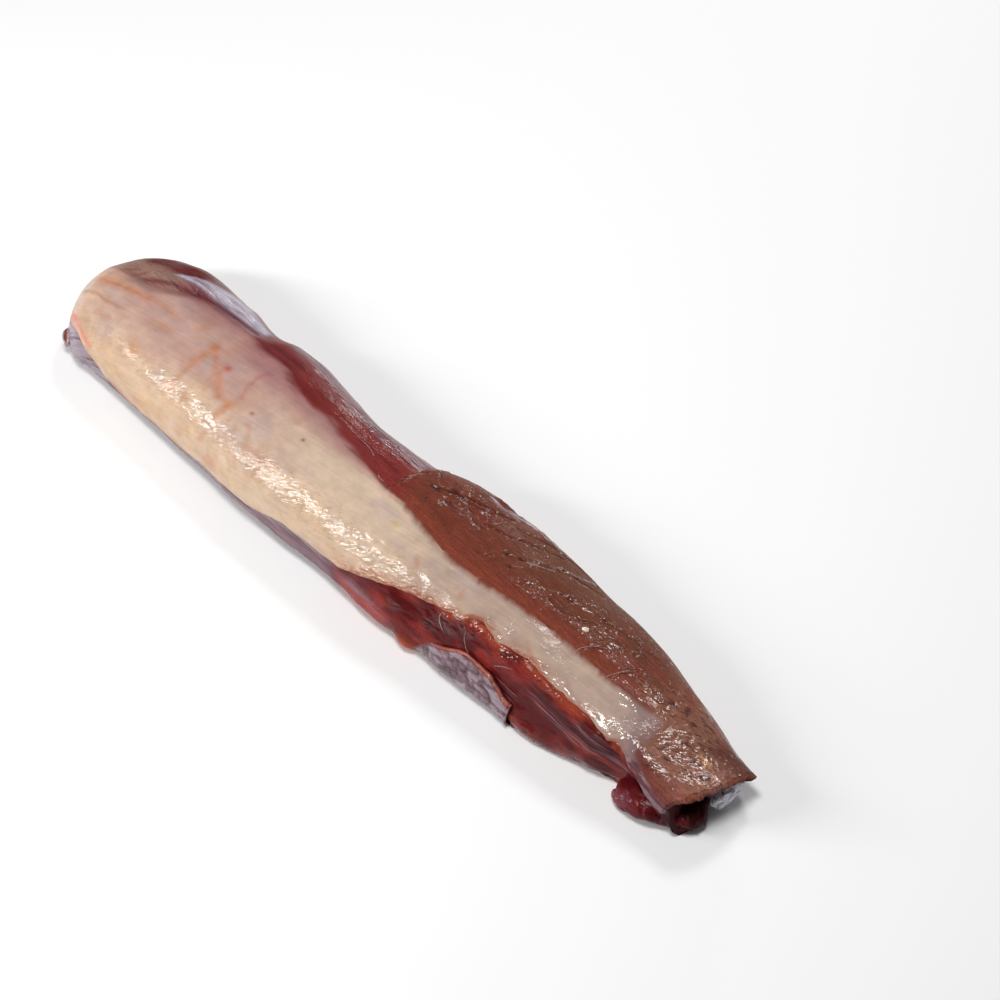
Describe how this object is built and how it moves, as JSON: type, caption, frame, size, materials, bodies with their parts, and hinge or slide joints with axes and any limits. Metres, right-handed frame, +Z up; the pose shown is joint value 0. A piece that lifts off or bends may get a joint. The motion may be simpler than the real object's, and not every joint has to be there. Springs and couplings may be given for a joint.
{
  "type": "raw venison backstrap",
  "caption": "Raw venison backstrap: a long trimmed loin muscle with a pale silverskin sheet, broad at one end and narrowing to a slanted cut end, lying on its flat side.",
  "frame": {"origin": "centre of the bounding box at its bottom, on the surface that the loin lies on", "axes": "+X along the loin from the broad end to the narrow cut end, +Y across it towards the dark brown muscle, +Z up"},
  "size_m": [0.4289, 0.0852, 0.0421],
  "materials": {
    "muscle": "moist dark red to brown raw muscle",
    "silverskin": "smooth wet cream connective tissue",
    "membrane": "thin wrinkled grey-purple membrane",
    "fat": "soft pale fat"
  },
  "bodies": {
    "root": {"backstrap": "muscle"}
  },
  "joints": []
}
